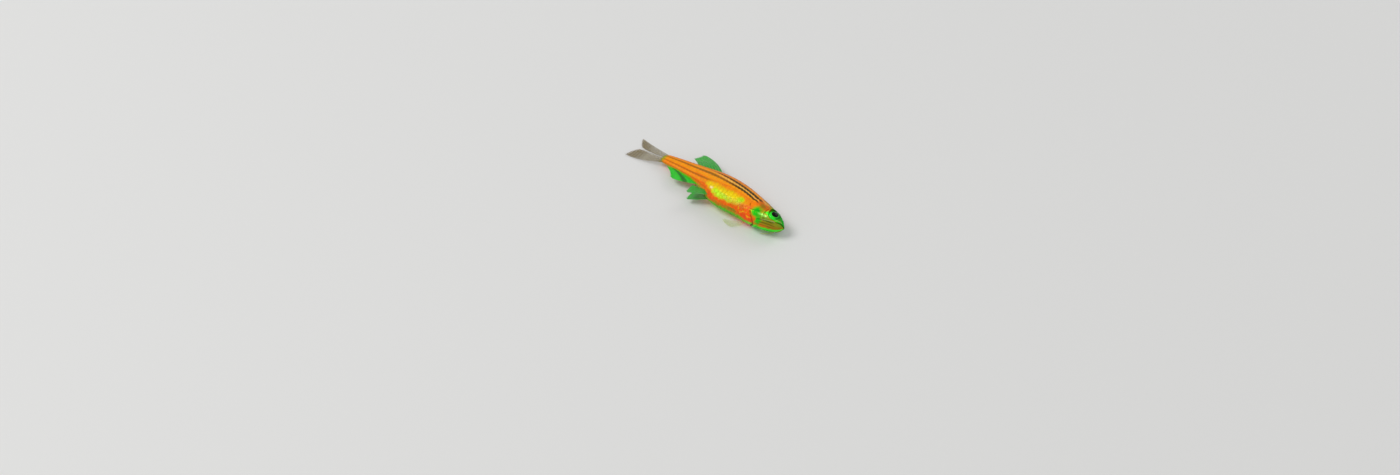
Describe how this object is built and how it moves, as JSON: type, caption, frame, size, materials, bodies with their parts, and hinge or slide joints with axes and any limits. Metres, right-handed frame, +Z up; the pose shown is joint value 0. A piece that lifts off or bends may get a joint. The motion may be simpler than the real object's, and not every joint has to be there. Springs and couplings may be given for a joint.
{
  "type": "zebra danio fish model",
  "caption": "Life-size still model of a small striped freshwater fish resting on its left side, with rayed fins, gill covers, eyes and barbels.",
  "frame": {"origin": "centre of the small flat that the left flank rests on, under the fish's axis", "axes": "+X from tail to snout, +Y from belly to back, +Z up, out of the right flank"},
  "size_m": [0.0304, 0.0087, 0.0042],
  "materials": {
    "skin": "wet gloss, orange with dark and light lengthwise stripes",
    "throat": "wet gloss, olive orange",
    "gill_cover": "silvery green sheen",
    "eye": "high gloss, dark pupil with a pale green ring",
    "barbel": "satin",
    "fin": "clear with a green tint and pale rays"
  },
  "bodies": {
    "root": {"head": "skin", "torso": "skin", "tail_stem": "skin", "lower_jaw": "throat", "eye_right": "eye", "gill_cover_right": "gill_cover", "snout_barbel_right": "barbel", "mouth_barbel_right": "barbel", "pelvic_fin_right": "fin", "pectoral_fin_right": "fin", "eye_left": "eye", "gill_cover_left": "gill_cover", "snout_barbel_left": "barbel", "mouth_barbel_left": "barbel", "pelvic_fin_left": "fin", "pectoral_fin_left": "fin", "dorsal_fin": "fin", "anal_fin": "fin", "caudal_fin_upper": "fin", "caudal_fin_lower": "fin"}
  },
  "joints": []
}
